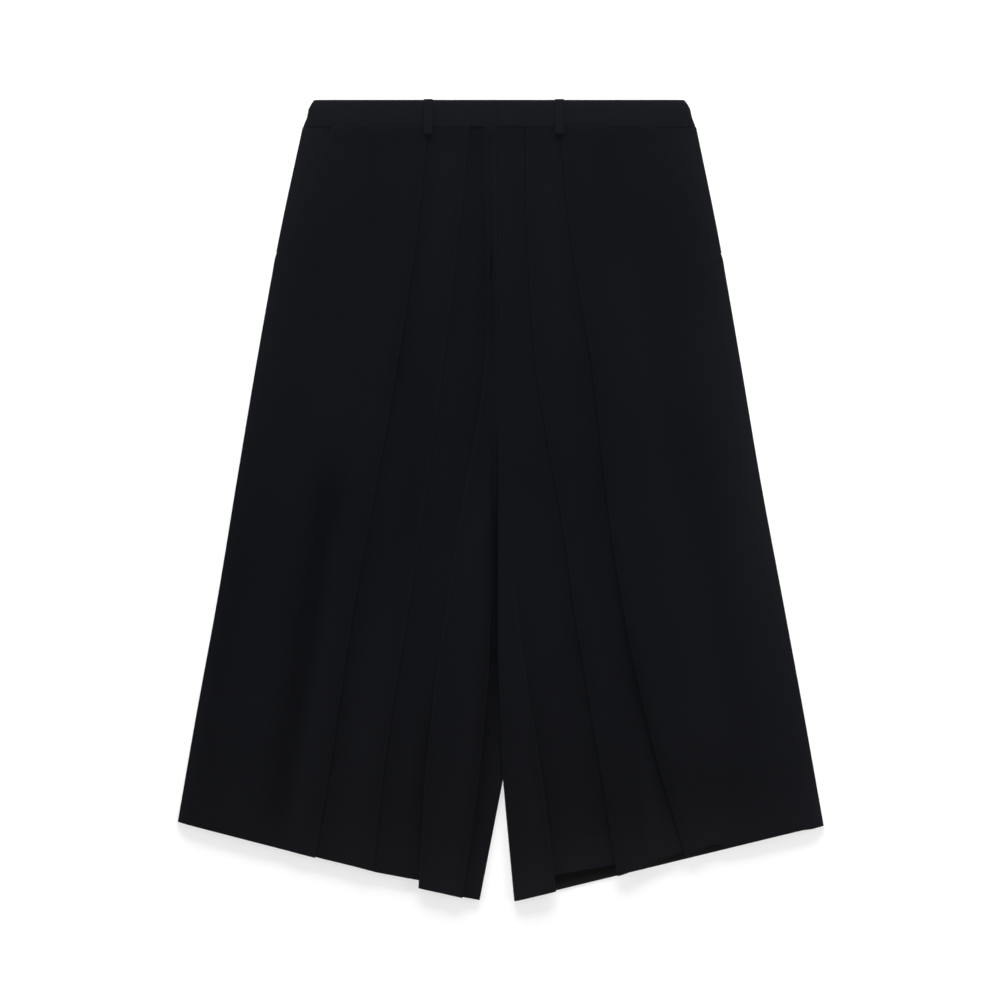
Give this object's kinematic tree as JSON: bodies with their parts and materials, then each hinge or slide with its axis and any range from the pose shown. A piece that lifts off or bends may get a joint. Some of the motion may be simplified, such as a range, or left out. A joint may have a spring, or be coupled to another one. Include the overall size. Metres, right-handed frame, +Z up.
{
  "type": "hakama trousers",
  "caption": "Cropped wide-leg hakama-style trousers in black cloth, laid flat with knife pleats, flat waistband and slanted side pockets.",
  "frame": {"origin": "under the middle of the flat garment, on the surface it lies on", "axes": "+Z up out of the cloth, +Y from hem to waist, +X to the wearer's left"},
  "size_m": [0.6781, 0.8408, 0.0083],
  "materials": {
    "leg_cloth": "matt black twill with a faint cool sheen",
    "band_cloth": "matt black twill, pressed flat"
  },
  "bodies": {
    "root": {"front_right_leg": "leg_cloth", "front_left_leg": "leg_cloth", "back_right_leg": "leg_cloth", "back_left_leg": "leg_cloth", "pocket_facing_right": "leg_cloth", "pocket_facing_left": "leg_cloth", "waistband_front_right": "band_cloth", "waistband_front_left": "band_cloth", "waistband_back": "band_cloth", "belt_loop_right": "band_cloth", "belt_loop_left": "band_cloth"}
  },
  "joints": []
}
